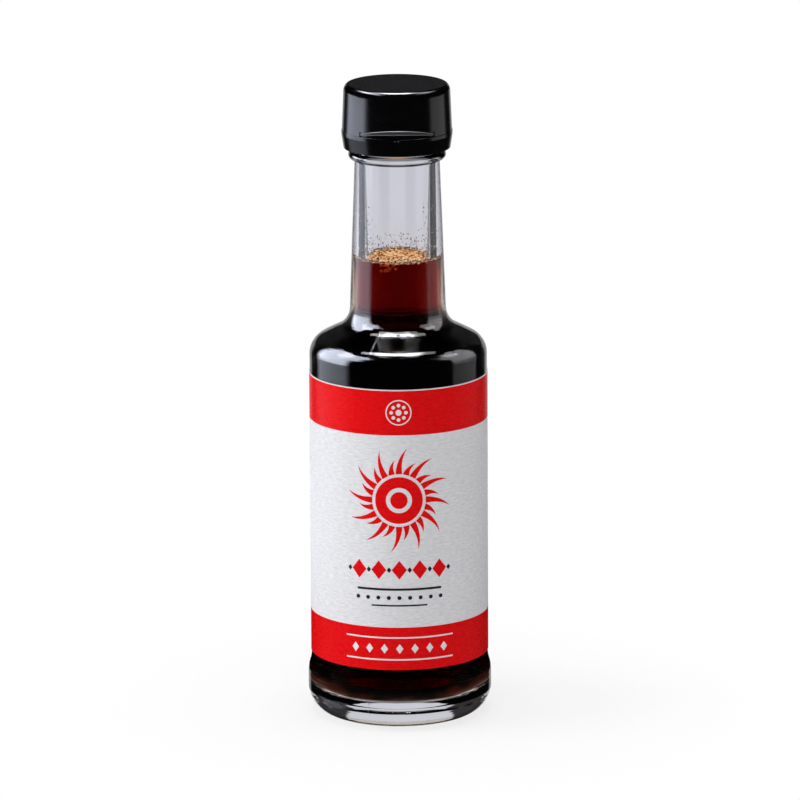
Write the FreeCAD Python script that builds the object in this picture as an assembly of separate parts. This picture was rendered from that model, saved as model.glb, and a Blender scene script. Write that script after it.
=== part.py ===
import FreeCAD, Part
import math
import os

# Chili sauce bottle: a clear glass bottle with a long neck, filled with sauce into the neck,
# with a paper sleeve label and a black two-piece cap (collar and lid, shut).
# Millimetres, +Z up, -Y is the front. The origin is the centre of the ring that it stands on.

# Glass, outside
PANEL_R = 26.7            # straight panel under the label
HEEL_BULGE = 1.02         # how far the heel stands out past the panel
HEEL_RUN = 6.22           # from the heel's full radius in to the ring that it stands on
HEEL_RISE = 8.05          # height at which the heel reaches its full radius
HEEL_POWER = 1.85         # 2 would make the heel's section a quarter ellipse
HEEL_BAND = 4.05          # straight band above the heel
WAIST = 6.0               # height over which that band leads in to the panel
FOOT_WIDTH = 2.6          # width of the ring that it stands on
SHOULDER_Z = 114.5        # where the lines of panel and shoulder cross
SHOULDER_SLOPE = 27.2     # degrees below the horizontal
SHOULDER_ROUND = 6.24     # outside radius from panel to shoulder
NECK_ROUND = 6.92         # outside radius from shoulder to neck
NECK_LENGTH = 55.8        # from the shoulder's line at the panel to the bead
NECK_TOP_R = 12.72        # neck just under the bead
NECK_TAPER = 0.0376       # radius lost for each millimetre up the neck
BEAD_REACH = 1.9          # how far the glass ring under the cap stands out past the neck
BEAD_ROUND = 1.31         # half its height
BEAD_CREASE = 0.5         # fillet between neck and bead
FINISH_STEP = 0.48        # how much wider than the neck the glass inside the cap is
FINISH_LENGTH = 4.1       # from the bead up to the mouth
LIP_ROUND = 0.6           # rounding of the mouth's edges

# Glass, inside
WALL = 2.9                # at the panel and the shoulder
FLOOR_Z = 7.3             # inner floor, over the thick base
INNER_HEEL = 5.0          # inside radius from floor to wall
FINISH_WALL = 3.0         # at the mouth
BORE_FLARE = 0.7          # how much wider the bore is at the mouth than at its root
BORE_ROUND = 10.0         # inside radius from shoulder to bore
PUSH_UP = 2.2             # height of the hollow under the base
PUSH_UP_RUN = 7.9         # from the standing ring in to where that hollow levels off
PUSH_UP_ROUND = 14.0
FOOT_ROUND = 0.8          # inner edge of the standing ring

# Contents
FILL_HEIGHT = 25.5        # sauce level, over the line of the shoulder at the panel

# Label
LABEL_THICK = 0.15
LABEL_OVER_WAIST = 0.8    # from the panel's bottom up to the label
LABEL_UNDER_SHOULDER = 5.4  # from the label up to where the shoulder starts to curve

# Cap
COLLAR_GAP = 0.76         # from the bead up to the collar
COLLAR_CLEARANCE = 0.3    # all round the glass inside the collar
COLLAR_WALL = 2.5         # at the collar's foot
COLLAR_TAPER_RUN = 0.64   # how much wider the collar is at its flange
COLLAR_TAPER_RISE = 4.3
COLLAR_HEIGHT = 5.46      # up to the ledge that carries the lid
COLLAR_ROUND = 0.3
LEDGE = 0.15              # how far the collar's ledge stands out past the lid
LID_HEIGHT = 13.87
LID_DRAFT = 0.043         # radius lost for each millimetre up the wall
LID_ROUND_IN = 1.3        # rounding of the top edge, inwards
LID_ROUND_DOWN = 2.2      # rounding of the top edge, downwards
LID_WALL = 1.3
LID_TOP = 1.5
LID_INNER_ROUND = 1.0

# Thumb tab on the front of the lid
TAB_ANGLE = 42.0          # degrees to each side of the front
TAB_REACH = 0.6           # how far it stands out at the middle
TAB_END_REACH = 0.12      # and at its ends
TAB_TOP_END = 0.95        # heights over the ledge of its upper and lower faces
TAB_TOP_MIDDLE = 2.7
TAB_FOOT_END = 0.35
TAB_FOOT_MIDDLE = 1.35
TAB_ROUND = 0.2
RECESS_DEPTH = 0.5        # hollow under the tab
NOTCH_WIDTH = 0.5         # slot at each end of the tab
NOTCH_HEIGHT = 1.6
NUB_R = 0.35              # moulded dots on the collar, under the tab
NUB_SPACING = 0.9

CURVE_STEPS = 8           # spans of a rounding that is no circle
SNUG = 0.999              # leaves a short straight between two roundings that meet
OVERSHOOT = 5.0           # how far cutters reach past what they cut
AXIS = FreeCAD.Vector(0, 0, 1)
ORIGIN = FreeCAD.Vector(0, 0, 0)

HEEL_R = PANEL_R + HEEL_BULGE
FOOT_R = HEEL_R - HEEL_RUN
PANEL_Z = HEEL_RISE + HEEL_BAND + WAIST
SLOPE = math.radians(SHOULDER_SLOPE)
HALF_TURN = (math.pi / 2 - SLOPE) / 2     # half the turn from panel to shoulder
PANEL_TOP_Z = SHOULDER_Z - SHOULDER_ROUND * math.tan(HALF_TURN)
NECK_TOP_Z = SHOULDER_Z + NECK_LENGTH
BEAD_R = NECK_TOP_R + BEAD_REACH
BEAD_TOP_Z = NECK_TOP_Z + 2 * BEAD_ROUND
FINISH_R = NECK_TOP_R + FINISH_STEP
MOUTH_Z = BEAD_TOP_Z + FINISH_LENGTH
BORE_MOUTH_R = FINISH_R - FINISH_WALL
BORE_ROOT_R = BORE_MOUTH_R - BORE_FLARE
FILL_Z = SHOULDER_Z + FILL_HEIGHT
SKIRT_R = FINISH_R + COLLAR_CLEARANCE
COLLAR_FOOT_R = SKIRT_R + COLLAR_WALL
COLLAR_FLANGE_R = COLLAR_FOOT_R + COLLAR_TAPER_RUN
COLLAR_Z = BEAD_TOP_Z + COLLAR_GAP
LEDGE_Z = COLLAR_Z + COLLAR_HEIGHT
LID_R = COLLAR_FLANGE_R - LEDGE
LID_TOP_Z = LEDGE_Z + LID_HEIGHT
LID_TOP_R = LID_R - LID_DRAFT * LID_HEIGHT


def at(radius, height):
    """The point of a section at this radius and height."""
    return FreeCAD.Vector(radius, 0, height)


def rounding(before, corner, after, size):
    """The curve that rounds a corner: an arc, or for (leg, leg, power) a superellipse."""
    back = (before - corner).normalize()
    ahead = (after - corner).normalize()
    if isinstance(size, tuple):
        first, second, power = size
        turns = [math.pi / 2 * i / CURVE_STEPS for i in range(CURVE_STEPS + 1)]
        points = [
            corner
            + back * (first * (1 - math.sin(turn) ** (2 / power)))
            + ahead * (second * (1 - math.cos(turn) ** (2 / power)))
            for turn in turns
        ]
        curve = Part.BSplineCurve()
        curve.interpolate(Points=points, InitialTangent=-back, FinalTangent=ahead)
        return curve.toShape()
    half = back.getAngle(ahead) / 2
    leg = size / math.tan(half)
    middle = corner + (back + ahead).normalize() * (size / math.sin(half) - size)
    return Part.Arc(corner + back * leg, middle, corner + ahead * leg).toShape()


def section(corners):
    """A face in the XZ plane through corners (radius, height) or (radius, height, rounding)."""
    points = [at(corner[0], corner[1]) for corner in corners]
    count = len(points)
    curves = []
    ends = []
    for i, corner in enumerate(corners):
        if len(corner) == 2:
            curves.append(None)
            ends.append((points[i], points[i]))
            continue
        curve = rounding(points[i - 1], points[i], points[(i + 1) % count], corner[2])
        curves.append(curve)
        ends.append((curve.firstVertex().Point, curve.lastVertex().Point))
    edges = []
    for i in range(count):
        if curves[i]:
            edges.append(curves[i])
        start, end = ends[i][1], ends[(i + 1) % count][0]
        if start.distanceToPoint(end) > 1e-6:
            edges.append(Part.LineSegment(start, end).toShape())
    return Part.Face(Part.Wire(Part.sortEdges(edges)[0]))


def turned(corners):
    """The solid of revolution about Z of a section."""
    return section(corners).revolve(ORIGIN, AXIS, 360)


def crossing(panel_r, shoulder_z, neck_r, neck_z, taper):
    """Where a shoulder line from (panel_r, shoulder_z) meets a neck line through (neck_r, neck_z)."""
    rise = math.tan(SLOPE)
    height = (shoulder_z + (panel_r - neck_r - taper * neck_z) * rise) / (1 - taper * rise)
    return neck_r + taper * (neck_z - height), height


def inner_corners():
    """The corners of the glass's inner face, from the wall's foot up to the bore."""
    wall_r = PANEL_R - WALL
    shoulder_z = SHOULDER_Z - WALL * math.tan(HALF_TURN)
    taper = (BORE_ROOT_R - BORE_MOUTH_R) / (MOUTH_Z - shoulder_z)
    root = crossing(wall_r, shoulder_z, BORE_MOUTH_R, MOUTH_Z, taper)
    return wall_r, (wall_r, shoulder_z, SHOULDER_ROUND - WALL), (*root, BORE_ROUND), taper


def bore_radius(height):
    """Radius of the bore at this height."""
    taper = inner_corners()[3]
    return BORE_MOUTH_R + taper * (MOUTH_Z - height)


def bottle():
    """The glass: thick base with a push-up, straight panel, sloping shoulder, neck and bead."""
    wall_r, inner_shoulder, inner_root, _ = inner_corners()
    neck_root = crossing(PANEL_R, SHOULDER_Z, NECK_TOP_R, NECK_TOP_Z, NECK_TAPER)
    return turned([
        (0, PUSH_UP),
        (FOOT_R - FOOT_WIDTH - PUSH_UP_RUN, PUSH_UP, PUSH_UP_ROUND),
        (FOOT_R - FOOT_WIDTH, 0, FOOT_ROUND),
        (HEEL_R, 0, (HEEL_R - FOOT_R, HEEL_RISE, HEEL_POWER)),
        *waist_corners(),
        (PANEL_R, SHOULDER_Z, SHOULDER_ROUND),
        (*neck_root, NECK_ROUND),
        (NECK_TOP_R, NECK_TOP_Z, BEAD_CREASE),
        (BEAD_R, NECK_TOP_Z, SNUG * BEAD_ROUND),
        (BEAD_R, BEAD_TOP_Z, SNUG * BEAD_ROUND),
        (FINISH_R, BEAD_TOP_Z, BEAD_CREASE / 2),
        (FINISH_R, MOUTH_Z, LIP_ROUND),
        (BORE_MOUTH_R, MOUTH_Z, LIP_ROUND),
        inner_root,
        inner_shoulder,
        (wall_r, FLOOR_Z, INNER_HEEL),
        (0, FLOOR_Z),
    ])


def waist_corners():
    """The two corners whose equal roundings lead from the heel's band in to the panel."""
    turn = 2 * math.atan2(HEEL_BULGE, WAIST)
    radius = SNUG * HEEL_BULGE / 2 / (1 - math.cos(turn))
    leg = radius * math.tan(turn / 2)
    return (HEEL_R, PANEL_Z - WAIST + leg, radius), (PANEL_R, PANEL_Z - leg, radius)


def sauce():
    """The sauce: all of the inside up to its level in the neck."""
    wall_r, inner_shoulder, inner_root, _ = inner_corners()
    return turned([
        (0, FLOOR_Z),
        (wall_r, FLOOR_Z, INNER_HEEL),
        inner_shoulder,
        inner_root,
        (bore_radius(FILL_Z), FILL_Z),
        (0, FILL_Z),
    ])


def label():
    """The paper sleeve, face to face with the panel."""
    foot = PANEL_Z + LABEL_OVER_WAIST
    top = PANEL_TOP_Z - LABEL_UNDER_SHOULDER
    outer = PANEL_R + LABEL_THICK
    return turned([(PANEL_R, foot), (outer, foot), (outer, top), (PANEL_R, top)])


def cap_collar():
    """The cap's lower piece: a skirt round the glass and a deck that rests on the mouth."""
    body = turned([
        (0, MOUTH_Z),
        (SKIRT_R, MOUTH_Z),
        (SKIRT_R, COLLAR_Z),
        (COLLAR_FOOT_R, COLLAR_Z, COLLAR_ROUND),
        (COLLAR_FLANGE_R, COLLAR_Z + COLLAR_TAPER_RISE),
        (COLLAR_FLANGE_R, LEDGE_Z, COLLAR_ROUND / 2),
        (0, LEDGE_Z),
    ])
    for side in (-1, 1):
        place = FreeCAD.Vector(side * NUB_SPACING / 2, 0, 0)
        place.y = -math.sqrt(COLLAR_FLANGE_R ** 2 - place.x ** 2)
        place.z = LEDGE_Z - 2 * NUB_R
        body = body.fuse(Part.makeSphere(NUB_R, place))
    return body.removeSplitter()


def slab(foot_end, foot_middle, top_end, top_middle):
    """A slab across the lid's front, rising towards the front, between heights over the ledge."""
    front = LID_R + TAB_REACH
    end = LID_R * math.cos(math.radians(TAB_ANGLE))

    def sloped(at_end, at_middle, depth):
        return LEDGE_Z + at_end + (at_middle - at_end) * (depth - end) / (front - end)

    outer = front + OVERSHOOT
    inner = end - LID_WALL
    corners = [
        (inner, sloped(foot_end, foot_middle, inner)),
        (outer, sloped(foot_end, foot_middle, outer)),
        (outer, sloped(top_end, top_middle, outer)),
        (inner, sloped(top_end, top_middle, inner)),
    ]
    points = [FreeCAD.Vector(-LID_R, -depth, height) for depth, height in corners]
    face = Part.Face(Part.makePolygon(points + points[:1]))
    return face.extrude(FreeCAD.Vector(2 * LID_R, 0, 0))


def front_wedge():
    """The sector that the tab takes up, as seen from above."""
    reach = 2 * LID_R
    side = reach * math.sin(math.radians(TAB_ANGLE))
    depth = reach * math.cos(math.radians(TAB_ANGLE))
    base = LEDGE_Z - OVERSHOOT
    points = [(0, 0), (side, -depth), (-side, -depth), (0, 0)]
    face = Part.Face(Part.makePolygon([FreeCAD.Vector(x, y, base) for x, y in points]))
    return face.extrude(FreeCAD.Vector(0, 0, LID_HEIGHT))


def tab_disc():
    """The upright cylinder, set forward, that gives the tab its crescent plan."""
    turn = math.radians(TAB_ANGLE)
    end = LID_R + TAB_END_REACH
    across, depth = end * math.sin(turn), end * math.cos(turn)
    front = LID_R + TAB_REACH
    shift = (front ** 2 - end ** 2) / 2 / (front - depth)
    radius = front - shift
    return Part.makeCylinder(radius, LID_HEIGHT, FreeCAD.Vector(0, -shift, LEDGE_Z - 1))


def ring(inner, outer):
    """An upright tube about the axis that spans the lid's wall near the ledge."""
    foot = FreeCAD.Vector(0, 0, LEDGE_Z - OVERSHOOT)
    height = LID_HEIGHT + OVERSHOOT
    return Part.makeCylinder(outer, height, foot).cut(Part.makeCylinder(inner, height, foot))


def notch(side):
    """The slot at one end of the tab."""
    size = 2 * (RECESS_DEPTH + TAB_END_REACH)
    box = Part.makeBox(size, NOTCH_WIDTH, NOTCH_HEIGHT)
    box.translate(FreeCAD.Vector(LID_R - size / 2, -NOTCH_WIDTH / 2, LEDGE_Z))
    box.rotate(ORIGIN, AXIS, -90 + side * TAB_ANGLE)
    return box


def cap_lid():
    """The cap's upper piece: a hollow shell on the collar's ledge, with a thumb tab in front."""
    inner_foot = LID_R - LID_WALL
    inner_top = LID_TOP_R - LID_WALL
    top_round = (LID_ROUND_DOWN, LID_ROUND_IN, 2.0)
    shell = turned([
        (inner_foot, LEDGE_Z),
        (LID_R, LEDGE_Z),
        (LID_TOP_R, LID_TOP_Z, top_round),
        (0, LID_TOP_Z),
        (0, LID_TOP_Z - LID_TOP),
        (inner_top, LID_TOP_Z - LID_TOP, LID_INNER_ROUND),
    ])
    under = slab(-OVERSHOOT, -OVERSHOOT, TAB_FOOT_END, TAB_FOOT_MIDDLE)
    recess = under.common(front_wedge()).common(ring(LID_R - RECESS_DEPTH, LID_R + 2 * TAB_REACH))
    tab = slab(TAB_FOOT_END, TAB_FOOT_MIDDLE, TAB_TOP_END, TAB_TOP_MIDDLE)
    tab = tab.common(front_wedge()).common(tab_disc()).cut(
        Part.makeCylinder(LID_R - LID_WALL / 2, LID_HEIGHT, FreeCAD.Vector(0, 0, LEDGE_Z))
    )
    front_edges = [
        edge for edge in tab.Edges
        if edge.BoundBox.YMin < -LID_R - TAB_REACH / 2 and edge.BoundBox.XLength > LID_R
    ]
    tab = tab.makeFillet(TAB_ROUND, front_edges)
    shell = shell.fuse(tab).cut(recess)
    for side in (-1, 1):
        shell = shell.cut(notch(side))
    return shell.removeSplitter()


os.makedirs("parts", exist_ok=True)
for make in (bottle, sauce, label, cap_collar, cap_lid):
    shape = make()
    solid = shape.Solids[0]
    print(make.__name__, len(shape.Solids), shape.isValid(), round(solid.Volume, 1))
    solid.exportStep(f"parts/{make.__name__}.step")
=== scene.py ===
import math
import random

import bpy
from mathutils import Matrix, Vector, noise


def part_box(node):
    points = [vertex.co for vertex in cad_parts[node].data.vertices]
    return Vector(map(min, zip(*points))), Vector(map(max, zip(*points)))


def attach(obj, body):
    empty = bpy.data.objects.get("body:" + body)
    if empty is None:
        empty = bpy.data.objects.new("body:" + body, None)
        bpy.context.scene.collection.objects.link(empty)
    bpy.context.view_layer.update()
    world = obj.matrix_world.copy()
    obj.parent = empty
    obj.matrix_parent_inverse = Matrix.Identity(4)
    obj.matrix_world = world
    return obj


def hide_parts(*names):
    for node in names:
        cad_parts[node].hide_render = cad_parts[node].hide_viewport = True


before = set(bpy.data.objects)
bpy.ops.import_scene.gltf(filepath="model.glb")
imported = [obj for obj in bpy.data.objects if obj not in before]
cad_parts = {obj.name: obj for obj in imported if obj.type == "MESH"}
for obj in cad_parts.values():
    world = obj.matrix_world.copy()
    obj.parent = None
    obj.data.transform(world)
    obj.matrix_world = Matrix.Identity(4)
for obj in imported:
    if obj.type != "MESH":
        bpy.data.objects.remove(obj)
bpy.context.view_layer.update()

# Every length is in metres and comes from the frame or from a value named here.
# -Y is the front; turns about Z are measured from the front, positive towards +X.
MM = 0.001
FULL_TURN = 2 * math.pi

# Turned meshes
TURN_STEPS = 256
RING_SPACING = 2.0 * MM           # longest step between two rings
RING_SUPPORT = 0.15 * MM          # rings this close to a corner keep its rounding tight

# Places in the frame
mouth_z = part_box("bottle")[1].z
sauce_low, sauce_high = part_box("sauce")
label_low, label_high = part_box("label")
lid_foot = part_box("cap_lid")[0].z
fill_z = sauce_high.z
paper_r = label_high.x            # outer face of the paper

# Glass
GLASS_TURN_STEPS = 192            # fewer than elsewhere, as this mesh has by far the most rings
HIDDEN_MARGIN = 2 * MM            # behind the label, this far from its edges, no rings are needed
WAVINESS = 0.035 * MM             # unevenness of the bare glass
WAVE_LENGTH = 14 * MM
WAVES_OVER_LABEL = (4 * MM, 10 * MM)    # over the label they set in between these heights,
WAVES_UNDER_LABEL = (3 * MM, 7 * MM)    # under it between these depths,
WAVES_OVER_FOOT = (0, 4 * MM)           # and they fade out towards the foot
WAVES_UNDER_MOUTH = (5 * MM, 8 * MM)    # and, between these depths, towards the mouth
OUTER_SLACK = 0.4 * MM            # what lies further in than this isn't the outside of the glass
INNER_FROM = 1.2 * MM             # what lies this far in is the inside,
INNER_FROM_Z = 3.2 * MM           # from over the hollow under the base
WET_OVER_FILL = 0.3 * MM          # the sauce wets the inside to just over its level
SLOPE_R = (17.9 * MM, 23.5 * MM)  # the shoulder's slope, which hardly mirrors the neck above it
SLOPE_EDGE = 0.4 * MM
SLOPE_OVER_LABEL = 6 * MM

# Mould seam, with the other half's opposite
SEAM_TURN = math.radians(-20)
SEAM_HEIGHT = 0.06 * MM
SEAM_WIDTH = 0.2 * MM
SEAM_STEPS = (-0.8, -0.6, -0.4, -0.2, 0, 0.2, 0.4, 0.6, 0.8)   # extra columns there, in degrees
SEAM_R = (15.5 * MM, 17.5 * MM)         # on the neck it is too faint to see
SEAM_OVER_LABEL = (8.6 * MM, 10.2 * MM)     # over the label it fades in between these heights
SEAM_CLEARNESS = 0.72             # it scatters some of the light

# Sauce
SAUCE_INTO_GLASS = 0.12 * MM      # how far the sauce reaches into the wall, so that no gap shows
MENISCUS_RISE = 0.8 * MM
MENISCUS_RUN = 1.6 * MM
MENISCUS_POWER = 2.5
MENISCUS_STEPS = 14

# Froth and bubbles
FOAM_LIFT = 0.15 * MM             # mean height over the sauce, and how far it strays from it
FOAM_GRAIN = 1.3 * MM
FOAM_GAP = 0.25 * MM              # from the glass
FOAM_THINNING = (0.4, 6)          # share of its height that it loses at the edge, and a power
FOAM_HOLES = 170
HOLE_REACH = 0.97                 # share of the froth's radius that has holes
HOLE_SIZE = (0.12, 0.42, 1.6)     # millimetres: the smallest, the range over it, and a power
HOLE_FLAT = 0.7
RIM_WIDE = 1.35                   # a hole's rim, for the hole's size
RIM_FLAT = 0.6
RIM_DOWN = 0.05 * MM
RING_BUBBLES = 150
RING_BUBBLE_SIZE = (0.12, 0.38)   # millimetres
RING_BUBBLE_INSET = 0.8           # how far its middle is from the glass, for its size
NECK_BUBBLES = 16
NECK_BUBBLE_SIZE = (0.22, 0.6)    # millimetres
NECK_BUBBLE_DEPTH = (0.2, 2.2, 1.6)     # as for the holes
NECK_BUBBLE_INSET = 0.9
NECK_BUBBLE_TURN = (-16, 5)       # degrees: their mean turn and its spread

# Splashes
SPLASHES = 720
SPLASHES_NEAR = 560               # of them, those close to the froth
SPLASH_SIZE = (0.07, 0.21)        # millimetres
SPLASH_FLAT = 0.45
SPLASH_TALL = (0.9, 1.5)
SPLASH_INSET = 0.25
NEAR_HEIGHT = 5 * MM
NEAR_POWER = 1.8
FAR_HEIGHTS = (3, 18)             # millimetres
FAR_TURN = (1.05, 0.22)           # radians: their mean turn to each side and its spread

# Sediment
SEDIMENT_GRAINS = 70
SEDIMENT_FOOT = 0.3 * MM
SEDIMENT_HEIGHT = 0.9 * MM        # how far up they spread
SEDIMENT_RUN = 2 * MM             # how far in from the wall they lie
GRAIN_SIZE = (0.2, 0.5)           # millimetres
GRAIN_FLAT = 0.25
GRAIN_TALL = (0.4, 0.9)
GRAIN_INSET = 0.35
FILM_HEIGHT = 5 * MM
FILM_RINGS = 10
FILM_THICK = 0.1 * MM
# The film's painted glow of light through the sauce is brightest at the sides and fades out towards
# the middle
FILM_PAINTED_GLOW_SIDES = (8 * MM, 23 * MM)   # it is darker at the middle than at the sides

# Cap: where the thumb tab's faces lie, for the painted highlights on its edges; they climb from its
# ends to its middle, at the front
TAB_FROM_R = 16.6 * MM
TAB_FROM_Z = lid_foot + 0.2 * MM
TAB_RUN = (12.25 * MM, 17.09 * MM)
TAB_FOOT = (lid_foot + 0.35 * MM, lid_foot + 1.35 * MM)
TAB_THICK = (0.6 * MM, 1.35 * MM)

# Label
UNDERCOAT = 0.004 * MM            # keeps the paper's back clear of the glass
PROUD = 0.02 * MM                 # how far ink stands over what it is printed on
OVERLAP_STEP = 0.12 * MM          # the paper's end laps over its start at the back
OVERLAP_HALF = 5 * MM
OVERLAP_EDGE = 0.0008             # half the run of that step, in radians
TOP_LINE = 0.35 * MM              # bare paper over the upper band
UPPER_BAND = 13.9 * MM
LOWER_BAND = 13.2 * MM
LAID_AROUND = 13.4                # the paper's ridges: noise cells for each radian round it
LAID_UP = 1800                    # and for each metre up

label_mid = (label_low.z + label_high.z) / 2
white_low = label_low.z + LOWER_BAND
white_high = label_high.z - UPPER_BAND
upper_band_mid = (white_high + label_high.z) / 2
lower_band_mid = (white_low + label_low.z) / 2

# Print
SUN_Z = white_high - 20 * MM
SUN_RING = (7.2 * MM, 3.9 * MM)
SUN_DOT = 2.6 * MM
RAYS = 24
RAY_START = 8.1 * MM
RAY_ENDS = (16.2 * MM, 12.4 * MM)       # long and short ones by turns
RAY_WIDTH = 2.0 * MM
RAY_BEND = 0.16
ROW_Z = SUN_Z - 21.5 * MM
ROW_STEP = 6.2 * MM
ROW_LOZENGE = (2.3 * MM, 2.9 * MM)      # half its width and height
ROW_POINT = (0.7 * MM, 0.9 * MM)
RULES = ((6 * MM, 26 * MM, 0.7 * MM), (11 * MM, 17 * MM, 0.5 * MM))    # depth, width, height
DOTS_DOWN = 8.6 * MM
DOT_STEP = 3.2 * MM
DOT_R = 0.62 * MM
EMBLEM_RING = (3.9 * MM, 3.55 * MM)
EMBLEM_DOT = 0.9 * MM
EMBLEM_DOTS_AT = 2.2 * MM
EMBLEM_SMALL_DOT = 0.55 * MM
EMBLEM_SMALL_DOTS = 8
FOOTER_STEP = 4.6 * MM
FOOTER_LOZENGE = (1.1 * MM, 1.5 * MM)
FOOTER_RULE = (34 * MM, 0.45 * MM)
FOOTER_RULES_AT = 3.4 * MM

# Camera
CAMERA_BACK = 2.1943
CAMERA_HEIGHT = 0.6173
CAMERA_SIDE = 0.00047
CAMERA_PITCH = 0.2333             # radians below the horizontal
CAMERA_ROLL = 0.0054
CAMERA_LENS = 336.9               # millimetres, on a sensor 36 mm wide

# Softboxes that glossy surfaces mirror: turns, rises and soft edges in degrees
LEFT_BOX = ((-127, -71), (-14, 52), 7)
RIGHT_BOX = ((76, 121), (-14, 46), 3)
BOX_RISE_SOFT = 1.2
LEAN = 30                         # how far their front edges lean forward at the top
LEAN_RISES = (18, 56)
LOW_BOX_RISES = ((-38, -19), 2)
LOW_BOX_TURNS = ((-127, -71), 5)
OVER_CORE = ((-14, 15), (-15, 15), 5)   # tilts to the back and to the side
OVER_WINGS = ((-12, 15), (-62, 58), 6)
OVER_BACK_SOFT = 3
BEHIND_Y = (0.84, 0.9)            # a faint box behind, by the direction's own y and z
BEHIND_Z = (0.14, 0.06)

# Their light: a level, or two angles in degrees and the levels there
LEFT_LEVELS = ((-8, 4, 2.4, 10.0), (-5, 12, 0.0, 3.0))
RIGHT_LEVELS = (-6, 18, 0.5, 2.8)
LOW_LEVEL = 0.8
CORE_LEVEL = 26.0
WINGS_LEVELS = (-20, 20, 7.5, 4.0)
BEHIND_LEVEL = 0.6
REST_LEVEL = 0.012                # what glossy surfaces mirror elsewhere
PLAIN_LEVEL = 0.3                 # what matt surfaces get from all sides

# Pale panels that show through glass, in degrees
PANEL_EDGE = (29, 26)             # where a panel turns pale, from the middle of it
PANEL_LEVELS = (0.04, 0.72)       # between the panels and on them
PANEL_TOP = (36, 27, 0.1, 1.0)    # they are darker higher up
PANEL_FOOT = (-34, -17, 0.3, 1.0)       # and further down
INNER_FILL = 2.6                  # light that reaches what is inside the glass

# Floor and cards
FLOOR_R = 3.0
FLOOR_Z = -0.2 * MM
FLOOR_SHADOW = 0.25               # share of the floor's white that the bottle can shade
FLOOR_SHADOW_R = (60 * MM, 110 * MM)    # that share fades out between these radii
CARD_R = 70 * MM
FOOT_CARD = (0, label_low.z + 22 * MM)
CAP_CARDS = (lid_foot + 8 * MM, lid_foot + 66 * MM)
CAP_CARD_TURNS = (40, 150)        # degrees, to each side

# Lamps: name, place, width and height, watts, colour
LAMP_AIM = Vector((0, 0, 100 * MM))
LAMPS = (
    ("left_softbox", (-0.9, -0.12, 0.4), (0.6, 0.9), 5.6, (0.97, 0.98, 1)),
    ("right_softbox", (0.85, 0.2, 0.4), (0.6, 0.9), 0.8, (1, 1, 1)),
    ("front_fill", (-0.1, -1.3, 0.7), (0.9, 0.9), 5.0, (1, 1, 1)),
    ("top_softbox", (0.0, 0.0, 1.1), (0.5, 0.5), 4, (1, 1, 1)),
)


# ---------------------------------------------------------------- meshes

def at(radius, turn, height):
    """The point at this distance from the axis, this turn and this height."""
    return radius * math.sin(turn), -radius * math.cos(turn), height


def part_way(value, start, end):
    """How far a value has come from start to end, from 0 to 1."""
    return min(1, max(0, (value - start) / (end - start)))


def mesh_of(name, verts, faces):
    mesh = bpy.data.meshes.new(name)
    mesh.from_pydata(verts, [], faces)
    mesh.update()
    return mesh


def chain_of(node):
    """The points (radius, height) of a turned node's section, from the middle of its foot on."""
    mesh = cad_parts[node].data
    beside = {}
    for edge in mesh.edges:
        ends = [mesh.vertices[i].co for i in edge.vertices]
        if all(abs(end.y) < 1e-7 and end.x > 0 for end in ends):
            a, b = [(round(end.x, 7), round(end.z, 7)) for end in ends]
            if a != b:
                beside.setdefault(a, set()).add(b)
                beside.setdefault(b, set()).add(a)
    tips = [point for point in beside if len(beside[point]) == 1]
    walk = [min(tips, key=lambda point: point[1])]
    while len(walk) < len(beside):
        walk += [point for point in beside[walk[-1]] if point not in walk[-2:]]
    return [(0.0, walk[0][1])] + walk + [(0.0, walk[-1][1])]


def radius_at(points, height):
    """The radius of an outline at this height, where it passes it last."""
    best = 0.0
    for (r0, z0), (r1, z1) in zip(points, points[1:]):
        if min(z0, z1) <= height <= max(z0, z1) and abs(z1 - z0) > 1e-9:
            best = r0 + (r1 - r0) * (height - z0) / (z1 - z0)
    return best


def with_supports(points):
    """The same outline with short steps, and extra points close to the ends of long straights."""
    result = [points[0]]
    for (r0, z0), (r1, z1) in zip(points, points[1:]):
        length = math.hypot(r1 - r0, z1 - z0)
        if length < 1e-7:
            continue
        stops = []
        if length > 4 * RING_SUPPORT:
            inner = length - 2 * RING_SUPPORT
            count = max(1, math.ceil(inner / RING_SPACING))
            stops = [RING_SUPPORT + inner * i / count for i in range(count + 1)]
        result += [(r0 + (r1 - r0) * s / length, z0 + (z1 - z0) * s / length) for s in stops]
        result.append((r1, z1))
    return result


def even_turns(steps=TURN_STEPS):
    return [FULL_TURN * i / steps for i in range(steps)]


def turned_mesh(name, points, turns=None, shift=None):
    """A mesh turned about Z from points (radius, height), closed where the radius is 0."""
    turns = turns or even_turns()
    steps = len(turns)
    verts, faces, rings = [], [], []
    for radius, height in points:
        if radius < 1e-6:
            rings.append([len(verts)])
            verts.append((0, 0, height))
            continue
        rings.append(list(range(len(verts), len(verts) + steps)))
        for turn in turns:
            out = radius + (shift(turn, radius, height) if shift else 0)
            verts.append(at(out, turn, height))
    for low, high in zip(rings, rings[1:]):
        for i in range(steps):
            j = (i + 1) % steps
            if len(low) == 1:
                faces.append((low[0], high[j], high[i]))
            elif len(high) == 1:
                faces.append((low[i], low[j], high[0]))
            else:
                faces.append((low[i], low[j], high[j], high[i]))
    return mesh_of(name, verts, faces)


def grid_mesh(name, patches):
    """One mesh of patches, each (point function of u and v, columns, rows)."""
    verts, faces = [], []
    for point, columns, rows in patches:
        first = len(verts)
        for j in range(rows + 1):
            verts += [point(i / columns, j / rows) for i in range(columns + 1)]
        for j in range(rows):
            for i in range(columns):
                a = first + j * (columns + 1) + i
                faces.append((a, a + 1, a + columns + 2, a + columns + 1))
    return mesh_of(name, verts, faces)


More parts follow.
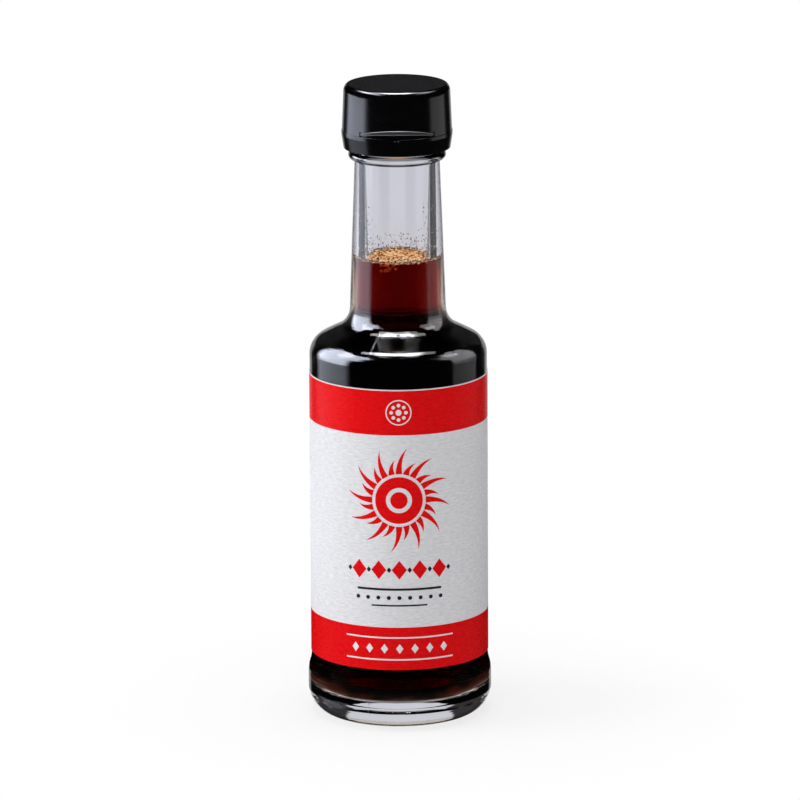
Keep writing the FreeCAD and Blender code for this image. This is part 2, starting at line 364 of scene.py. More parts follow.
def blobs_mesh(name, blobs, rings=8, steps=12, rough=0.0):
    """One mesh of small round bodies, each (centre, three radii, turn about Z).
    Rough ones are pushed in and out by noise, each at a place of its own in it."""
    grain, apart = 1.7, 3.1
    verts, faces = [], []
    for number, (centre, radii, turn) in enumerate(blobs):
        first = len(verts)
        spin = Matrix.Rotation(turn, 3, "Z")
        for j in range(rings + 1):
            down = math.pi * j / rings
            out = math.sin(down)
            for i in range(steps):
                around = FULL_TURN * i / steps
                unit = Vector((out * math.cos(around), out * math.sin(around), math.cos(down)))
                swell = 1 + rough * noise.noise(unit * grain + Vector((number * apart, 0, 0)))
                body = Vector((unit.x * radii[0], unit.y * radii[1], unit.z * radii[2])) * swell
                verts.append(tuple(Vector(centre) + spin @ body))
        for j in range(rings):
            for i in range(steps):
                k = (i + 1) % steps
                a, b = first + j * steps, first + (j + 1) * steps
                faces.append((a + i, b + i, b + k, a + k))
    return mesh_of(name, verts, faces)


def add_object(name, data):
    made = bpy.data.objects.new(name, data)
    bpy.context.scene.collection.objects.link(made)
    return made


def add_piece(name, mesh, material, smooth=True):
    """A new object of the scene that rides on the one body."""
    piece = add_object(name, mesh)
    for polygon in mesh.polygons:
        polygon.use_smooth = smooth
    mesh.materials.append(material)
    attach(piece, "root")
    return piece


# ---------------------------------------------------------------- shader trees

class Tree:
    """Short ways to add nodes to a shader tree."""

    def __init__(self, tree):
        self.nodes, self.links = tree.nodes, tree.links

    def plug(self, value, socket):
        """Links another node's socket, or sets a plain value."""
        if isinstance(value, bpy.types.NodeSocket):
            self.links.new(value, socket)
        else:
            socket.default_value = value

    def node(self, kind, **inputs):
        made = self.nodes.new(kind)
        for name, value in inputs.items():
            self.plug(value, made.inputs[name.replace("_", " ")])
        return made

    def joined(self, kind, *values):
        """A node with its first inputs filled in this order."""
        made = self.nodes.new(kind)
        for value, socket in zip(values, made.inputs):
            self.plug(value, socket)
        return made.outputs[0]

    def maths(self, kind, *values):
        made = self.joined("ShaderNodeMath", *values)
        made.node.operation = kind
        return made

    def total(self, first, *others):
        for other in others:
            first = self.maths("ADD", first, other)
        return first

    def product(self, first, *others):
        for other in others:
            first = self.maths("MULTIPLY", first, other)
        return first

    def axes(self, vector):
        return self.node("ShaderNodeSeparateXYZ", Vector=vector).outputs

    def map_range(self, value, start, end, low=0.0, high=1.0, kind="LINEAR"):
        """Maps the range from start to end to the one from low to high, and stays in it."""
        made = self.node("ShaderNodeMapRange", Value=value, From_Min=start, From_Max=end)
        made.inputs["To Min"].default_value = low
        made.inputs["To Max"].default_value = high
        made.interpolation_type = kind
        return made.outputs[0]

    def mix(self, factor, first, second):
        """The second shader where the factor is 1, the first where it is 0."""
        return self.joined("ShaderNodeMixShader", factor, first, second)


class Shader(Tree):
    """A new material with its Principled shader."""

    def __init__(self, name):
        self.material = bpy.data.materials.new(name)
        self.material.use_nodes = True
        super().__init__(self.material.node_tree)
        self.bsdf = self.nodes["Principled BSDF"]
        self.output = self.nodes["Material Output"]

    def set(self, **values):
        for name, value in values.items():
            self.bsdf.inputs[name.replace("_", " ")].default_value = value

    def link(self, output, name):
        self.links.new(output, self.bsdf.inputs[name])

    def place(self):
        """The piece's own coordinates, in metres."""
        return self.node("ShaderNodeTexCoord").outputs["Object"]

    def noise(self, scale, detail=2.0, vector=None, roughness=0.5):
        made = self.node("ShaderNodeTexNoise", Scale=scale, Detail=detail, Roughness=roughness)
        self.links.new(vector or self.place(), made.inputs["Vector"])
        return made.outputs["Fac"]

    def spread(self, value, low, high):
        """Maps a noise value, most of which lie between 0.3 and 0.7, to the range that is given."""
        return self.map_range(value, 0.3, 0.7, low, high)

    def attribute(self, name):
        """A number stored at the mesh's points."""
        made = self.nodes.new("ShaderNodeAttribute")
        made.attribute_name = name
        return made.outputs["Fac"]

    def colours(self, value, stops):
        ramp = self.node("ShaderNodeValToRGB", Fac=value)
        points = ramp.color_ramp.elements
        while len(points) < len(stops):
            points.new(0.5)
        for point, (position, colour) in zip(points, stops):
            point.position = position
            point.color = (*colour, 1)
        return ramp.outputs["Color"]

    def mix_colours(self, factor, first, second):
        made = self.nodes.new("ShaderNodeMix")
        made.data_type = "RGBA"
        inputs = {socket.identifier: socket for socket in made.inputs}
        outputs = {socket.identifier: socket for socket in made.outputs}
        for name, value in (("Factor_Float", factor), ("A_Color", first), ("B_Color", second)):
            self.links.new(value, inputs[name])
        return outputs["Result_Color"]

    def bump(self, height, distance, strength=1.0):
        made = self.node("ShaderNodeBump", Height=height, Distance=distance, Strength=strength)
        self.link(made.outputs[0], "Normal")


class Sky(Tree):
    """The world's tree, with directions as turn from the front and rise over the horizon."""

    def __init__(self):
        world = bpy.data.worlds.new("studio")
        bpy.context.scene.world = world
        world.use_nodes = True
        super().__init__(world.node_tree)
        self.nodes.clear()
        self.x, self.y, self.z = self.axes(self.node("ShaderNodeTexCoord").outputs["Generated"])
        self.turn = self.maths("ARCTAN2", self.x, self.maths("MULTIPLY", self.y, -1.0))
        self.rise = self.maths("ARCSINE", self.z)
        self.side_tilt = self.maths("ARCTAN2", self.x, self.z)
        self.back_tilt = self.maths("ARCTAN2", self.y, self.z)

    def ramp(self, value, start, end, low=0.0, high=1.0):
        return self.map_range(value, start, end, low, high, "SMOOTHSTEP")

    def sweep(self, angle, start, end, low=0.0, high=1.0):
        """A ramp whose start and end are in degrees."""
        return self.ramp(angle, math.radians(start), math.radians(end), low, high)

    def between(self, angle, span, soft):
        """1 between two angles in degrees, 0 outside, with soft edges."""
        start, end = span
        up = self.sweep(angle, start - soft, start + soft)
        down = self.sweep(angle, end - soft, end + soft, 1.0, 0.0)
        return self.product(up, down)

    def window(self, turns, rises, soft, side):
        """An upright softbox on one side, -1 for the left and 1 for the right. Its front edge
        leans forward at the top, which rounds the corners of what is mirrored."""
        lean = self.sweep(self.rise, *LEAN_RISES, 0.0, side * math.radians(LEAN))
        straight = self.between(self.turn, turns, soft)
        leaning = self.between(self.total(self.turn, lean), turns, soft)
        wide = self.maths("MAXIMUM", straight, leaning)
        return self.product(wide, self.between(self.rise, rises, BOX_RISE_SOFT))

    def overhead(self, back, side, soft):
        """A softbox overhead, by its tilts to the back and to the side."""
        deep = self.between(self.back_tilt, back, OVER_BACK_SOFT)
        return self.product(deep, self.between(self.side_tilt, side, soft))

    def light(self, strength, colour=(1, 1, 1)):
        return self.node("ShaderNodeBackground", Color=(*colour, 1), Strength=strength).outputs[0]

    def plus(self, first, second):
        return self.joined("ShaderNodeAddShader", first, second)


# ---------------------------------------------------------------- materials

def glass_material():
    """Clear glass that mirrors less where it is dull, and scatters a little at the seam."""
    made = Shader("clear_glass")
    made.set(IOR=1.52)
    tone = [(0.3, (0.965, 0.97, 0.975)), (0.7, (0.985, 0.985, 0.99))]
    made.link(made.colours(made.noise(60, 1.0), tone), "Base Color")
    made.link(made.spread(made.noise(900), 0.0, 0.012), "Roughness")
    dull = [(0.0, (1, 1, 1)), (0.9, (0, 0, 0))]
    made.link(made.colours(made.attribute("dull"), dull), "Specular Tint")
    clear = made.map_range(made.attribute("seam"), 0.0, 1.0, 1.0, SEAM_CLEARNESS)
    made.link(clear, "Transmission Weight")
    return made.material


def sauce_material():
    made = Shader("chili_sauce")
    made.set(Transmission_Weight=1.0, IOR=1.35, Specular_Tint=(0, 0, 0, 1))
    tone = [(0.3, (1, 0.93, 0.9)), (0.7, (1, 1, 1))]
    made.link(made.colours(made.noise(160, 3.0), tone), "Base Color")
    made.link(made.spread(made.noise(300), 0.0, 0.06), "Roughness")
    absorb = made.node("ShaderNodeVolumeAbsorption", Color=(0.876, 0.58, 0.0, 1), Density=1000)
    made.links.new(absorb.outputs[0], made.output.inputs["Volume"])
    return made.material


def cap_material():
    """Black plastic, with painted highlights along the lower and upper edge of the thumb tab and a
    painted grey reflection on its face between them.
    """
    made = Shader("black_plastic")
    made.set(Specular_IOR_Level=0.8)
    black = [(0.3, (0.0006, 0.0006, 0.0008)), (0.7, (0.0014, 0.0014, 0.0018))]
    plain = made.colours(made.noise(220, 3.0), black)
    x, y, z = made.axes(made.place())
    reach = made.maths("SQRT", made.total(made.product(x, x), made.product(y, y)))
    above = made.maths("GREATER_THAN", z, TAB_FROM_Z)
    painted_tab_mask = made.product(made.maths("GREATER_THAN", reach, TAB_FROM_R), above)
    climb = made.map_range(made.product(y, -1.0), *TAB_RUN)
    foot = made.map_range(climb, 0.0, 1.0, *TAB_FOOT)
    thick = made.map_range(climb, 0.0, 1.0, *TAB_THICK)
    up = made.maths("DIVIDE", made.maths("SUBTRACT", z, foot), thick)
    # Painted light on the tab: highlights at its lower and upper edges, and a painted grey
    # reflection on its face between them
    painted_tab_reflection = (0.03, 0.03, 0.035)
    painted_tab_highlights = [(0.0, (0.2, 0.2, 0.22)), (0.25, painted_tab_reflection), (0.7, painted_tab_reflection), (0.95, (0.26, 0.26, 0.28))]
    made.link(made.mix_colours(painted_tab_mask, plain, made.colours(up, painted_tab_highlights)), "Base Color")
    made.link(made.spread(made.noise(1500, 3.0), 0.14, 0.2), "Roughness")
    made.bump(made.noise(5200), 0.01 * MM, 0.08)
    return made.material


def paper_material(name, dark, light, roughness=(0.45, 0.6), specular=0.15):
    """Laid paper: short wavy ridges that run round the bottle."""
    made = Shader(name)
    made.set(Specular_IOR_Level=specular)
    x, y, z = made.axes(made.place())
    around = made.product(made.maths("ARCTAN2", x, y), LAID_AROUND)
    laid = made.node("ShaderNodeCombineXYZ", X=around, Y=made.product(z, LAID_UP))
    ridges = made.noise(1.0, 3.0, laid.outputs[0], 0.6)
    fibres = made.noise(2600)
    made.link(made.colours(ridges, [(0.3, dark), (0.7, light)]), "Base Color")
    made.link(made.spread(fibres, *roughness), "Roughness")
    made.bump(made.total(ridges, made.product(fibres, 0.15)), 0.09 * MM, 0.75)
    return made.material


def speck_material(name, colours, roughness=0.4, transmission=0.0):
    made = Shader(name)
    made.set(Transmission_Weight=transmission, IOR=1.33)
    made.link(made.colours(made.noise(900), colours), "Base Color")
    made.link(made.spread(made.noise(2500, 1.0), roughness * 0.7, roughness * 1.3), "Roughness")
    return made.material


def film_material():
    """Fine sediment whose colour carries a painted glow of light through the sauce: brighter
    red-brown low down and at the left and right sides, darker upwards and in the middle.
    """
    made = Shader("sediment")
    made.set(Specular_IOR_Level=0.1)
    x, _, z = made.axes(made.place())
    # Painted glow: brighter low down and at the sides, darker upwards and in the middle
    up = made.map_range(z, sauce_low.z, sauce_low.z + FILM_HEIGHT, 0.0, 0.75)
    middle = made.map_range(made.maths("ABSOLUTE", x), *FILM_PAINTED_GLOW_SIDES, 0.5, 0.0)
    grain = made.total(up, middle, made.spread(made.noise(180, 6.0), -0.15, 0.25))
    tone = [(0.0, (0.15, 0.014, 0.004)), (1.0, (0.003, 0.0002, 0.0001))]
    made.link(made.colours(grain, tone), "Base Color")
    made.link(made.spread(made.noise(2500, 1.0), 0.5, 0.8), "Roughness")
    return made.material


# ---------------------------------------------------------------- glass

bottle_chain = chain_of("bottle")
sauce_chain = chain_of("sauce")
mouth = max(range(len(bottle_chain)), key=lambda i: bottle_chain[i][1])
outside = bottle_chain[:mouth + 1]      # from under the base up to the mouth
inside = bottle_chain[mouth + 1:]       # from the mouth down to the inner floor
bore_r = radius_at(inside, fill_z)      # where the froth is


def seam_at(turn, radius, height):
    """How much of a mould seam is at this place, from 0 to 1."""
    halves = [math.remainder(turn - SEAM_TURN - half, FULL_TURN) for half in (0, math.pi)]
    away = min(abs(half) for half in halves)
    fade = part_way(radius, *SEAM_R)
    if height > label_high.z:
        fade *= part_way(height - label_high.z, *SEAM_OVER_LABEL)
    return fade * max(0.0, 1 - (away * radius / SEAM_WIDTH) ** 2)


def glass_shift(turn, radius, height):
    """Waviness and mould seams of the bare glass, away from the label and the cap."""
    over = part_way(height - label_high.z, *WAVES_OVER_LABEL)
    under = part_way(label_low.z - height, *WAVES_UNDER_LABEL) * part_way(height, *WAVES_OVER_FOOT)
    fade = max(over, under) * part_way(mouth_z - height, *WAVES_UNDER_MOUTH)
    if not fade or radius < radius_at(outside, height) - OUTER_SLACK:
        return 0.0
    spot = Vector((radius * math.sin(turn), radius * math.cos(turn), height)) / WAVE_LENGTH
    return fade * (WAVINESS * noise.noise(spot) + SEAM_HEIGHT * seam_at(turn, radius, height))


def mark_glass(mesh):
    """Stores at the mesh's points how much of a seam is there, and how dull the glass is: fully
    on its inside up to the sauce's level, and on the shoulder's slope."""
    dull = mesh.attributes.new("dull", "FLOAT", "POINT")
    seam = mesh.attributes.new("seam", "FLOAT", "POINT")
    for vert in mesh.vertices:
        x, y, z = vert.co
        radius = math.hypot(x, y)
        if z > INNER_FROM_Z and radius < radius_at(outside, z) - INNER_FROM:
            dull.data[vert.index].value = 1.0 if z < fill_z + WET_OVER_FILL else 0.0
        elif z > label_high.z + SLOPE_OVER_LABEL:
            mark = seam_at(math.atan2(x, -y), radius, z)
            edges = (radius - SLOPE_R[0], SLOPE_R[1] - radius)
            slope = min(part_way(edge, 0, SLOPE_EDGE) for edge in edges)
            dull.data[vert.index].value = slope * (1 - mark)
            seam.data[vert.index].value = mark


def make_glass():
    hidden = (label_low.z + HIDDEN_MARGIN, label_high.z - HIDDEN_MARGIN)
    rings = with_supports(bottle_chain)
    points = [point for point in rings if not hidden[0] < point[1] < hidden[1]]
    turns = even_turns(GLASS_TURN_STEPS)
    for half in (0, math.pi):
        turns += [(SEAM_TURN + half + math.radians(step)) % FULL_TURN for step in SEAM_STEPS]
    mesh = turned_mesh("bottle_glass", points, sorted(set(turns)), glass_shift)
    mark_glass(mesh)
    piece = add_piece("bottle_glass", mesh, glass_material())
    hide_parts("bottle")


# ---------------------------------------------------------------- sauce and froth

def make_sauce():
    """The sauce, which reaches just into the wall and climbs it a little at the top."""
    out = SAUCE_INTO_GLASS
    floor_r = sauce_chain[1][0]
    top_r = sauce_chain[-2][0] + out
    outline = [(0, sauce_low.z - out), (floor_r, sauce_low.z - out)]
    outline += [(r + out, z) for r, z in sauce_chain[2:-2]]
    for i in range(MENISCUS_STEPS + 1):
        t = i / MENISCUS_STEPS
        rise = MENISCUS_RISE * (1 - t) ** MENISCUS_POWER
        outline.append((top_r - t * (MENISCUS_RUN + out), fill_z + rise))
    outline.append((0, fill_z))
    mesh = turned_mesh("sauce_liquid", with_supports(outline))
    piece = add_piece("sauce_liquid", mesh, sauce_material())
    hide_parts("sauce")


def skewed(rand, low, more, power):
    """A random length between low and low + more, mostly near the low end."""
    return low + more * rand.random() ** power


def ball(radius, turn, height, size):
    return at(radius, turn, height), (size, size, size), 0


def foam_height(x, y):
    """Height of the foam over the sauce's level at this place."""
    return FOAM_LIFT * (1 + noise.noise(Vector((x, y, 0)) / FOAM_GRAIN))


def make_foam():
    """A froth on the sauce: an uneven skin, small open bubbles in it and a ring of larger ones."""
    reach = bore_r - FOAM_GAP
    loss, power = FOAM_THINNING

    def skin(u, v):
        """It thins out towards the glass."""
        x, y = at(reach * v, FULL_TURN * u, fill_z)[:2]
        return x, y, fill_z + foam_height(x, y) * (1 - loss * v ** power)

    tone = [(0.4, (0.55, 0.13, 0.012)), (0.5, (0.92, 0.42, 0.08)), (0.64, (1.0, 0.76, 0.36))]
    amber = speck_material("foam_amber", tone, 0.3)
    add_piece("foam_skin", grid_mesh("foam_skin", [(skin, 96, 24)]), amber)
    rand = random.Random(11)
    holes, rims = [], []
    for _ in range(FOAM_HOLES):
        radius = reach * math.sqrt(rand.random()) * HOLE_REACH
        x, y = at(radius, rand.uniform(0, FULL_TURN), fill_z)[:2]
        size = skewed(rand, *HOLE_SIZE) * MM
        wide = size * RIM_WIDE
        z = fill_z + foam_height(x, y)
        holes.append(((x, y, z), (size, size, size * HOLE_FLAT), 0))
        rims.append(((x, y, z - RIM_DOWN), (wide, wide, size * RIM_FLAT), 0))
    dark_tone = [(0.3, (0.03, 0.003, 0.001)), (0.7, (0.1, 0.01, 0.002))]
    dark = speck_material("bubble_dark", dark_tone, 0.12)
    add_piece("foam_bubbles", blobs_mesh("foam_bubbles", holes), dark)
    add_piece("foam_rims", blobs_mesh("foam_rims", rims), amber)
    pale_tone = [(0.35, (0.45, 0.2, 0.08)), (0.65, (0.9, 0.78, 0.66))]
    pale = speck_material("foam_pale", pale_tone, 0.2)
    ring = []
    for _ in range(RING_BUBBLES):
        turn = rand.uniform(0, FULL_TURN)
        size = rand.uniform(*RING_BUBBLE_SIZE) * MM
        height = fill_z + MENISCUS_RISE * rand.uniform(0.0, 1.0)
        ring.append(ball(bore_r - size * RING_BUBBLE_INSET, turn, height, size))
    add_piece("foam_ring", blobs_mesh("foam_ring", ring), pale)


def make_bubbles():
    """Bubbles under the froth, against the front of the neck."""
    rand = random.Random(5)
    bubbles = []
    for _ in range(NECK_BUBBLES):
        size = rand.uniform(*NECK_BUBBLE_SIZE) * MM
        height = fill_z - skewed(rand, *NECK_BUBBLE_DEPTH) * MM
        radius = radius_at(inside, height) - size * NECK_BUBBLE_INSET
        turn = math.radians(rand.gauss(*NECK_BUBBLE_TURN))
        bubbles.append(ball(radius, turn, height, size))
    tone = [(0.3, (0.2, 0.012, 0.002)), (0.7, (0.5, 0.07, 0.01))]
    warm = speck_material("bubble_warm", tone, 0.15)
    add_piece("neck_bubbles", blobs_mesh("neck_bubbles", bubbles, 10, 16), warm)


def make_droplets():
    """Splashes and specks of spice on the inside of the empty neck."""
    rand = random.Random(21)
    drops, specks = [], []
    for i in range(SPLASHES):
        if i < SPLASHES_NEAR:
            height = fill_z + rand.random() ** NEAR_POWER * NEAR_HEIGHT
            turn = rand.uniform(0, FULL_TURN)
        else:
            height = fill_z + rand.uniform(*FAR_HEIGHTS) * MM
            turn = rand.choice((-1, 1)) * rand.gauss(*FAR_TURN)
        size = rand.uniform(*SPLASH_SIZE) * MM
        radii = (size, size * SPLASH_FLAT, size * rand.uniform(*SPLASH_TALL))
        centre = at(radius_at(inside, height) - size * SPLASH_INSET, turn, height)
        (specks if i % 3 else drops).append((centre, radii, turn))
    clear_tone = [(0.3, (0.5, 0.38, 0.34)), (0.7, (0.9, 0.84, 0.82))]
    clear = speck_material("droplet", clear_tone, 0.1, 0.4)
    brown_tone = [(0.35, (0.03, 0.006, 0.003)), (0.65, (0.16, 0.05, 0.02))]
    brown = speck_material("spice_speck", brown_tone, 0.4)
    add_piece("neck_droplets", blobs_mesh("neck_droplets", drops), clear)
    add_piece("neck_specks", blobs_mesh("neck_specks", specks, rough=0.5), brown)


def make_sediment():
    """Flakes and seeds of chili that have sunk to the edge of the base."""
    rand = random.Random(8)
    foot = sauce_low.z + SEDIMENT_FOOT
    flakes, seeds = [], []
    for i in range(SEDIMENT_GRAINS):
        height = foot + abs(rand.gauss(0, 1)) * SEDIMENT_HEIGHT
        wall = max(radius_at(sauce_chain, height), radius_at(sauce_chain, foot))
        size = rand.uniform(*GRAIN_SIZE) * MM
        radius = wall - size * GRAIN_INSET - rand.random() ** 2 * SEDIMENT_RUN
        turn = rand.uniform(0, FULL_TURN)
        radii = (size, size * GRAIN_FLAT, size * rand.uniform(*GRAIN_TALL))
        (flakes if i % 6 else seeds).append((at(radius, turn, height), radii, turn))
    red_tone = [(0.35, (0.02, 0.002, 0.001)), (0.65, (0.08, 0.01, 0.003))]
    red = speck_material("chili_flake", red_tone, 0.4)
    gold_tone = [(0.3, (0.05, 0.02, 0.006)), (0.7, (0.12, 0.05, 0.015))]
    gold = speck_material("chili_seed", gold_tone, 0.35)
    add_piece("base_flakes", blobs_mesh("base_flakes", flakes, rough=0.8), red)
    add_piece("base_seeds", blobs_mesh("base_seeds", seeds, rough=0.3), gold)


def make_film():
    """A film of fine sediment low on the wall, coloured with a painted glow."""
    heights = [sauce_low.z + FILM_HEIGHT * i / FILM_RINGS for i in range(1, FILM_RINGS + 1)]
    outer = [(radius_at(sauce_chain[1:], z) - FILM_THICK, z) for z in heights]
    inner = [(r - FILM_THICK, z) for r, z in reversed(outer)]
    mesh = turned_mesh("base_film", outer + inner + outer[:1])
    add_piece("base_film", mesh, film_material())


# ---------------------------------------------------------------- label

def overlap(turn):
    """How far the paper stands out where its end laps over its start, at the back."""
    along = math.remainder(turn - math.pi, FULL_TURN) * paper_r
    return OVERLAP_STEP if -OVERLAP_HALF < along < OVERLAP_HALF else 0.0


def on_label(across, height, layer=1):
    """The point at this distance round the label from its front line, and at this height."""
    turn = across / paper_r
    return at(paper_r + PROUD * layer + overlap(turn), turn, height)


def label_turns():
    """Even turns with a close pair at each edge of the overlap."""
    turns = even_turns()
    for side in (-1, 1):
        edge = math.pi + side * OVERLAP_HALF / paper_r
        turns += [edge - OVERLAP_EDGE, edge + OVERLAP_EDGE]
    return sorted(turns)


def band_mesh(name, low, high):
    points = [(paper_r + PROUD, z) for z in (low, (low + high) / 2, high)]
    return turned_mesh(name, points, label_turns(), lambda turn, radius, height: overlap(turn))


def disc(across, height, radius, inner=0.0, layer=1):
    """A patch for a disc or, with an inner radius, a ring."""
    def point(u, v):
        reach = inner + (radius - inner) * v
        turn = FULL_TURN * u
        return on_label(across + reach * math.sin(turn), height + reach * math.cos(turn), layer)
    return point, 48, max(2, math.ceil((radius - inner) / MM))


def lozenge(across, height, half_width, half_height, layer=1):
    def point(u, v):
        wide = half_width * (1 - abs(2 * v - 1))
        return on_label(across + wide * (2 * u - 1), height + half_height * (2 * v - 1), layer)
    return point, 6, 12


def bar(across, height, width, tall, layer=1):
    def point(u, v):
        return on_label(across + width * (u - 0.5), height + tall * (v - 0.5), layer)
    return point, max(2, math.ceil(width / MM)), 2


def flame_ray(height, end, turn):
    """A ray of the sunburst that tapers to a point and leans over like a flame."""
    def point(u, v):
        reach = RAY_START + (end - RAY_START) * v
        lean = turn + RAY_BEND * v * v
        side = RAY_WIDTH * (1 - v) ** 0.8 * (u - 0.5)
        across = reach * math.sin(lean) + side * math.cos(lean)
        up = reach * math.cos(lean) - side * math.sin(lean)
        return on_label(across, height + up)
    return point, 4, 12


def sunburst():
    rays = [flame_ray(SUN_Z, RAY_ENDS[i % 2], FULL_TURN * i / RAYS) for i in range(RAYS)]
    return [disc(0, SUN_Z, *SUN_RING), disc(0, SUN_Z, SUN_DOT)] + rays


def row_lozenges():
    return [lozenge(i * ROW_STEP, ROW_Z, *ROW_LOZENGE) for i in range(-2, 3)]


def row_points():
    return [lozenge((i + 0.5) * ROW_STEP, ROW_Z, *ROW_POINT) for i in range(-3, 3)]


def rules_and_dots():
    rules = [bar(0, ROW_Z - down, width, tall) for down, width, tall in RULES]
    return rules + [disc(i * DOT_STEP, ROW_Z - DOTS_DOWN, DOT_R) for i in range(-4, 5)]


def emblem():
    """A ring of dots on the upper band."""
    marks = [disc(0, upper_band_mid, *EMBLEM_RING, 2), disc(0, upper_band_mid, EMBLEM_DOT, 0, 2)]
    for turn in even_turns(EMBLEM_SMALL_DOTS):
        across = EMBLEM_DOTS_AT * math.sin(turn)
        height = upper_band_mid + EMBLEM_DOTS_AT * math.cos(turn)
        marks.append(disc(across, height, EMBLEM_SMALL_DOT, 0, 2))
    return marks


def footer():
    """Small lozenges between two rules on the lower band."""
    marks = [lozenge(i * FOOTER_STEP, lower_band_mid, *FOOTER_LOZENGE, 2) for i in range(-3, 4)]
    heights = [lower_band_mid + side * FOOTER_RULES_AT for side in (-1, 1)]
    return marks + [bar(0, height, *FOOTER_RULE, 2) for height in heights]


def make_label():
    """A paper sleeve right round the bottle."""
    low, high = label_low.z, label_high.z
    inner_r = radius_at(outside, label_mid) + UNDERCOAT
    outline = [(inner_r, low), (paper_r, low), (paper_r, label_mid), (paper_r, high)]
    outline += [(inner_r, high), (inner_r, low)]

    def lap(turn, radius, height):
        return overlap(turn) if radius > paper_r - 1e-6 else 0.0

    mesh = turned_mesh("label_paper", outline, label_turns(), lap)
    paper = paper_material("paper_white", (0.64, 0.64, 0.66), (0.8, 0.8, 0.82))
    sleeve = add_piece("label_paper", mesh, paper, smooth=False)
    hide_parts("label")


def make_print():
    """Two red bands and, in front, generic motifs in red, black and white."""
    red_tone = (0.62, 0.0015, 0.003), (0.84, 0.003, 0.005)
    red = paper_material("ink_red", *red_tone, (0.24, 0.34), 0.08)
    black_tone = (0.012, 0.012, 0.014), (0.02, 0.02, 0.022)
    black = paper_material("ink_black", *black_tone, (0.35, 0.5))
    white = paper_material("ink_white", (0.68, 0.68, 0.7), (0.8, 0.8, 0.8))
    add_piece("band_upper", band_mesh("band_upper", white_high, label_high.z - TOP_LINE), red)
    add_piece("band_lower", band_mesh("band_lower", label_low.z, white_low), red)
    motifs = (
        ("print_sunburst", sunburst, red),
        ("print_lozenges", row_lozenges, red),
        ("print_points", row_points, black),
        ("print_rules", rules_and_dots, black),
        ("print_emblem", emblem, white),
        ("print_footer", footer, white),
    )
    for name, patches, ink in motifs:
        add_piece(name, grid_mesh(name, patches()), ink)


# ---------------------------------------------------------------- the object

def dress_cap():
    """Gives the cap's CAD nodes their material."""
    plastic = cap_material()
    for node in ("cap_collar", "cap_lid"):
        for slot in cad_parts[node].material_slots:
            slot.material = plastic


make_glass()
make_sauce()
make_foam()
make_bubbles()
make_droplets()
make_sediment()
make_film()
make_label()
make_print()
dress_cap()


# ---------------------------------------------------------------- camera and studio

def make_camera():
    camera = bpy.data.cameras.new("camera")
    camera.lens = CAMERA_LENS
    camera.sensor_width = 36
    camera.clip_start, camera.clip_end = 0.1, 20
    holder = add_object("camera", camera)
    tilt = Matrix.Rotation(math.pi / 2 - CAMERA_PITCH, 4, "X")
    place = Matrix.Translation((CAMERA_SIDE, -CAMERA_BACK, CAMERA_HEIGHT))
    holder.matrix_world = place @ tilt @ Matrix.Rotation(-CAMERA_ROLL, 4, "Z")
    bpy.context.scene.camera = holder


def soft_light(name, place, size, watts, colour):
    """A lamp aimed at the bottle; glass and plastic show the world's softboxes in its stead."""
    lamp = bpy.data.lights.new(name, "AREA")
    lamp.shape = "RECTANGLE"
    lamp.size, lamp.size_y = size
    lamp.energy = watts
    lamp.color = colour
    holder = add_object(name, lamp)
    holder.location = place
    holder.rotation_euler = (LAMP_AIM - Vector(place)).to_track_quat("-Z", "Y").to_euler()
    holder.visible_glossy = False
    holder.visible_transmission = False


def mirrored(sky):
    """What glossy surfaces mirror: a softbox to the left, a weaker one to the right, one overhead,
    and faint ones low on the left and behind."""
    left_level = sky.total(*[sky.sweep(sky.rise, *levels) for levels in LEFT_LEVELS])
    left = sky.product(sky.window(*LEFT_BOX, -1), left_level)
    right = sky.product(sky.window(*RIGHT_BOX, 1), sky.sweep(sky.rise, *RIGHT_LEVELS))
    low_box = sky.between(sky.rise, *LOW_BOX_RISES), sky.between(sky.turn, *LOW_BOX_TURNS)
    low = sky.product(*low_box, LOW_LEVEL)
    core = sky.product(sky.overhead(*OVER_CORE), CORE_LEVEL)
    wings = sky.product(sky.overhead(*OVER_WINGS), sky.sweep(sky.side_tilt, *WINGS_LEVELS))
    behind = sky.product(sky.ramp(sky.y, *BEHIND_Y), sky.ramp(sky.z, *BEHIND_Z), BEHIND_LEVEL)
    blue = sky.light(sky.total(left, low), (0.80, 0.85, 1.0))
    pale = sky.light(right, (0.97, 0.96, 1.0))
    cool = sky.light(sky.total(core, wings, behind, REST_LEVEL), (0.95, 0.95, 1.0))
    return sky.plus(sky.plus(blue, pale), cool)


def seen_through(sky):
    """What shows through glass: four pale panels with dark gaps between them."""
    fourfold = sky.maths("COSINE", sky.product(sky.turn, 4.0))
    edge = [math.cos(math.radians(4 * angle)) for angle in PANEL_EDGE]
    panels = sky.ramp(fourfold, *edge, *PANEL_LEVELS)
    top = sky.sweep(sky.rise, *PANEL_TOP)
    foot = sky.sweep(sky.rise, *PANEL_FOOT)
    return sky.light(sky.product(panels, top, foot), (0.91, 0.915, 1.0))


def make_world():
    sky = Sky()
    path = sky.node("ShaderNodeLightPath").outputs
    inner = sky.maths("GREATER_THAN", path["Diffuse Depth"], 0.5)
    through = sky.mix(inner, seen_through(sky), sky.light(INNER_FILL))
    shown = sky.mix(path["Is Glossy Ray"], sky.light(PLAIN_LEVEL), mirrored(sky))
    shown = sky.mix(path["Is Transmission Ray"], shown, through)
    shown = sky.mix(path["Is Camera Ray"], shown, sky.light(1.0))
    sky.node("ShaderNodeOutputWorld", Surface=shown)


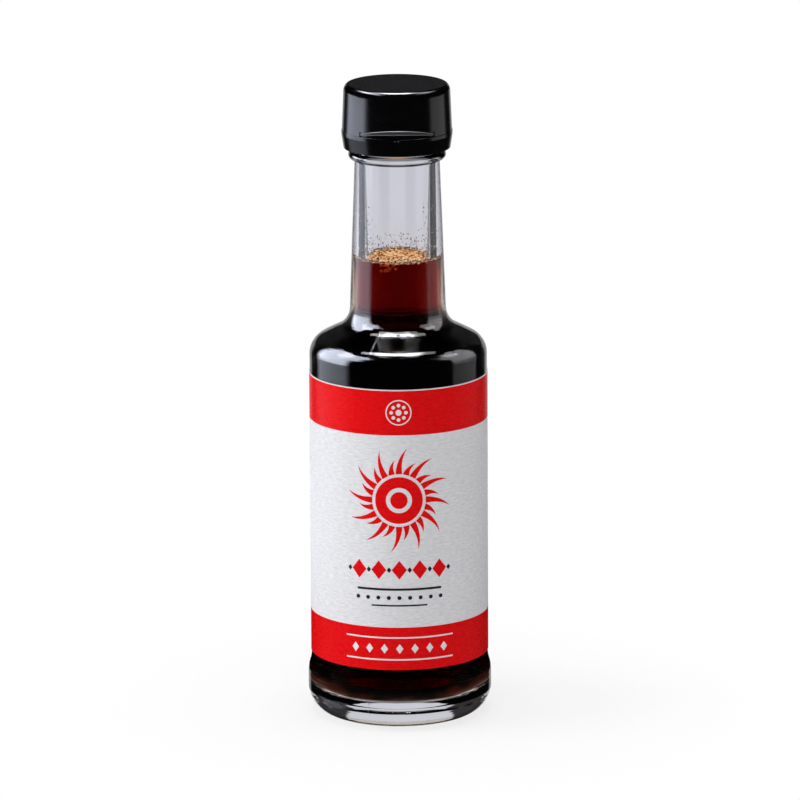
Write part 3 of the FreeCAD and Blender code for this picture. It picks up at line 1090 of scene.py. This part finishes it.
def make_floor():
    """White to the camera with the bottle's faint shadow, plain to scattered light, and open to
    what glass mirrors and shows."""
    mesh = turned_mesh("floor", [(0, FLOOR_Z), (FLOOR_R, FLOOR_Z)], even_turns(64))
    floor = add_object("floor", mesh)
    made = Shader("floor_white")
    made.set(Base_Color=(0.8, 0.8, 0.8, 1), Roughness=0.9)
    x, y, _ = made.axes(made.place())
    reach = made.maths("SQRT", made.total(made.product(x, x), made.product(y, y)))
    plain = made.map_range(reach, *FLOOR_SHADOW_R, 1 - FLOOR_SHADOW, 1.0)
    shaded = made.node("ShaderNodeBsdfDiffuse", Color=(1, 1, 1, 1)).outputs[0]
    white = made.mix(plain, shaded, made.node("ShaderNodeEmission").outputs[0])
    path = made.node("ShaderNodeLightPath").outputs
    seen = made.mix(path["Is Camera Ray"], made.bsdf.outputs[0], white)
    clear = made.maths("MAXIMUM", path["Is Glossy Ray"], path["Is Transmission Ray"])
    opened = made.mix(clear, seen, made.node("ShaderNodeBsdfTransparent").outputs[0])
    made.links.new(opened, made.output.inputs["Surface"])
    mesh.materials.append(made.material)


def card_patch(low, high, first, last):
    """A patch of an upright card that curves round the bottle between two turns in degrees."""
    def point(u, v):
        return at(CARD_R, math.radians(first + (last - first) * u), low + (high - low) * v)
    return point, 24, 1


def make_cards():
    """Black cards that only mirroring rays see: one round the foot keeps the softboxes off the
    base, and one on each side keeps their tops off the cap."""
    made = Shader("flag_black")
    made.set(Base_Color=(0.002, 0.002, 0.002, 1), Roughness=1.0, Specular_IOR_Level=0.0)
    start, end = CAP_CARD_TURNS
    sides = [card_patch(*CAP_CARDS, side * start, side * end) for side in (-1, 1)]
    for name, patches in (("foot_flag", [card_patch(*FOOT_CARD, 0, 360)]), ("cap_flags", sides)):
        card = add_object(name, grid_mesh(name, patches))
        card.data.materials.append(made.material)
        card.visible_camera = False
        card.visible_diffuse = False
        card.visible_transmission = False
        card.visible_shadow = False


def make_studio():
    make_world()
    make_floor()
    make_cards()
    for lamp in LAMPS:
        soft_light(*lamp)


make_studio()
make_camera()
bpy.context.scene.view_settings.view_transform = "Standard"
